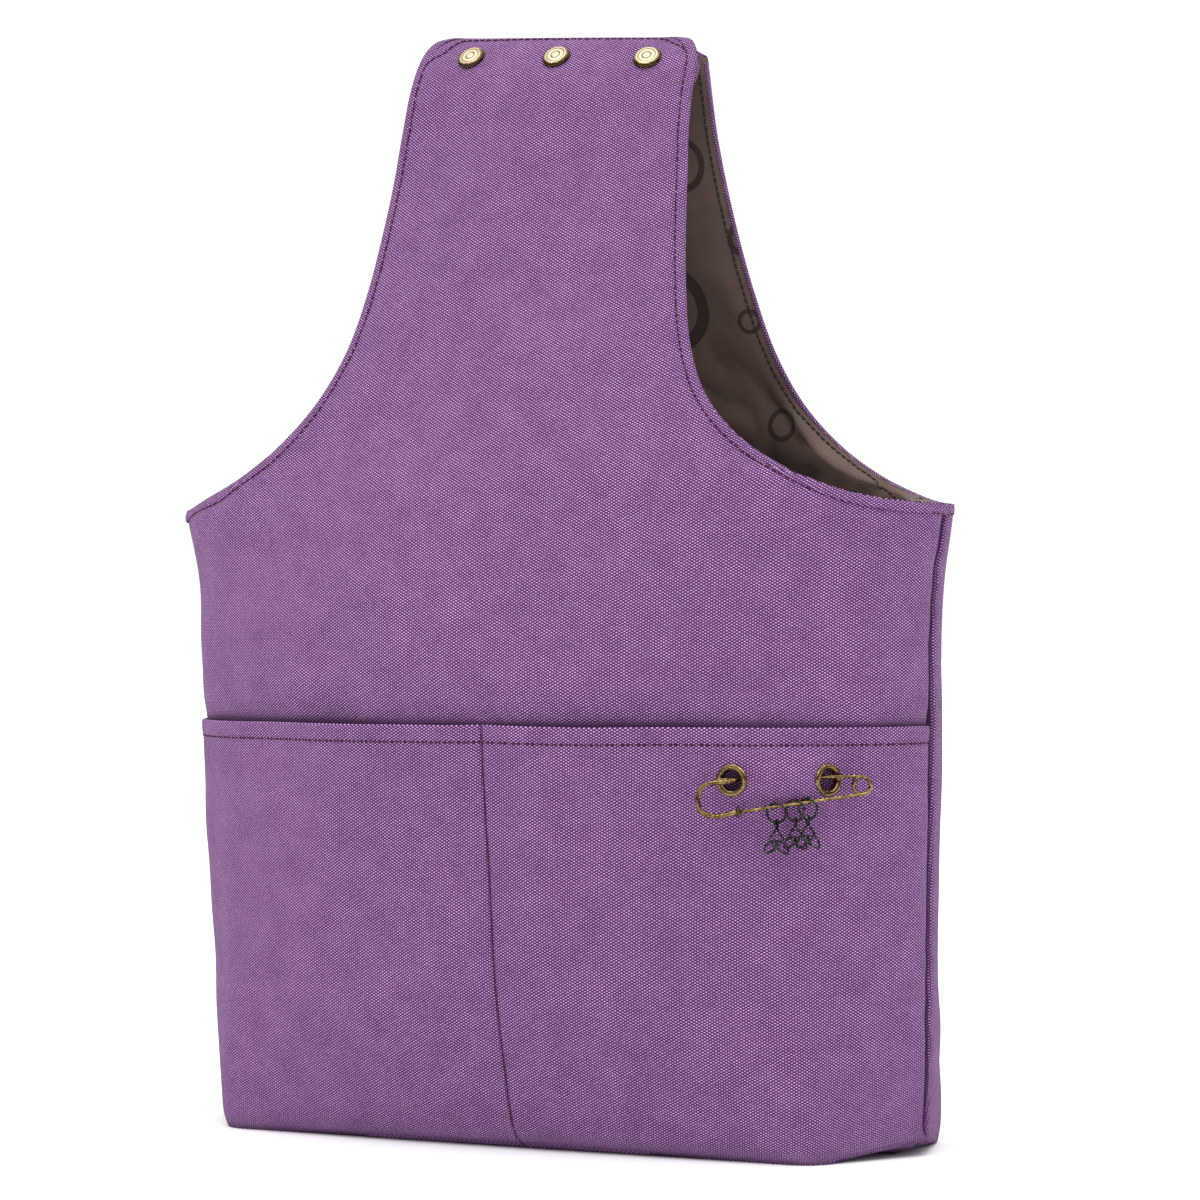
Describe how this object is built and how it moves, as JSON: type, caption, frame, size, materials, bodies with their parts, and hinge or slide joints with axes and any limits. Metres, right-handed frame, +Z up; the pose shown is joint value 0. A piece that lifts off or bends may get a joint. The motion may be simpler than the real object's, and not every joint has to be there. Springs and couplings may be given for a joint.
{
  "type": "knitting bag",
  "caption": "Lined canvas knitting bag with a wide closed strap, snap tab, divided front pocket and a kilt pin with wire stitch markers.",
  "frame": {"origin": "centre of the base, on the surface the bag stands on", "axes": "+Z up, -Y out of the front with the pocket, +X towards the kilt pin's side seam"},
  "size_m": [0.354, 0.1793, 0.4635],
  "materials": {
    "canvas": "plain weave cotton canvas, matt",
    "lining": "smooth printed cotton, slight sheen",
    "thread": "twisted sewing thread",
    "antique_metal": "antique brass, worn bright on the high spots"
  },
  "bodies": {
    "bag": {"front_panel": "canvas", "back_panel": "canvas", "front_lining": "lining", "back_lining": "lining", "pocket_panel": "canvas", "pocket_divider_stitching": "thread", "snap_stud_1": "antique_metal", "snap_stud_2": "antique_metal", "snap_stud_3": "antique_metal", "snap_back_ring_1": "antique_metal", "snap_back_ring_2": "antique_metal", "snap_back_ring_3": "antique_metal", "eyelet_left": "antique_metal", "eyelet_right": "antique_metal", "eyelet_washer_left": "antique_metal", "eyelet_washer_right": "antique_metal", "pin_arm": "antique_metal"},
    "tab": {"snap_tab": "canvas", "snap_tab_lining": "lining", "snap_cap_1": "antique_metal", "snap_cap_2": "antique_metal", "snap_cap_3": "antique_metal", "snap_socket_1": "antique_metal", "snap_socket_2": "antique_metal", "snap_socket_3": "antique_metal"},
    "pin_bar": {"pin_rail": "antique_metal", "pin_head": "antique_metal", "pin_collar": "antique_metal"},
    "marker_1": {"marker_ring_1": "antique_metal"},
    "charm_1": {"marker_charm_1": "antique_metal"},
    "marker_2": {"marker_ring_2": "antique_metal"},
    "charm_2": {"marker_charm_2": "antique_metal"},
    "marker_3": {"marker_ring_3": "antique_metal"},
    "charm_3": {"marker_charm_3": "antique_metal"}
  },
  "joints": [
    {"name": "tab_peel", "type": "hinge", "parent": "bag", "child": "tab", "pos_m": [0, -0.0203, 0.438], "axis": [0.9986, 0, -0.0537], "range_deg": [0, 120]},
    {"name": "pin_open", "type": "hinge", "parent": "bag", "child": "pin_bar", "pos_m": [0.15592, -0.04649, 0.1505], "axis": [0.5299, -0.848, 0], "range_deg": [0, 25]},
    {"name": "marker_swing_1", "type": "hinge", "parent": "pin_bar", "child": "marker_1", "pos_m": [0.12705, -0.06445, 0.1423], "axis": [-0.8398, -0.5248, -0.1388], "range_deg": [0, 100]},
    {"name": "charm_swing_1", "type": "hinge", "parent": "marker_1", "child": "charm_1", "pos_m": [0.12705, -0.06445, 0.13577], "axis": [-0.9998, -0.0174, 0], "range_deg": [0, 20]},
    {"name": "marker_swing_2", "type": "hinge", "parent": "pin_bar", "child": "marker_2", "pos_m": [0.13341, -0.06049, 0.14335], "axis": [-0.8398, -0.5248, -0.1388], "range_deg": [0, 100]},
    {"name": "charm_swing_2", "type": "hinge", "parent": "marker_2", "child": "charm_2", "pos_m": [0.13341, -0.06049, 0.13682], "axis": [-1, 0, 0], "range_deg": [0, 20]},
    {"name": "marker_swing_3", "type": "hinge", "parent": "pin_bar", "child": "marker_3", "pos_m": [0.13766, -0.05785, 0.14405], "axis": [-0.8398, -0.5248, -0.1388], "range_deg": [0, 100]},
    {"name": "charm_swing_3", "type": "hinge", "parent": "marker_3", "child": "charm_3", "pos_m": [0.13766, -0.05785, 0.13752], "axis": [-1, 0, 0], "range_deg": [0, 20]}
  ],
  "couplings": [
    {"joint": "marker_swing_2", "follows": "marker_swing_1", "ratio": 1},
    {"joint": "marker_swing_3", "follows": "marker_swing_1", "ratio": 1},
    {"joint": "charm_swing_2", "follows": "charm_swing_1", "ratio": 1},
    {"joint": "charm_swing_3", "follows": "charm_swing_1", "ratio": 1}
  ]
}
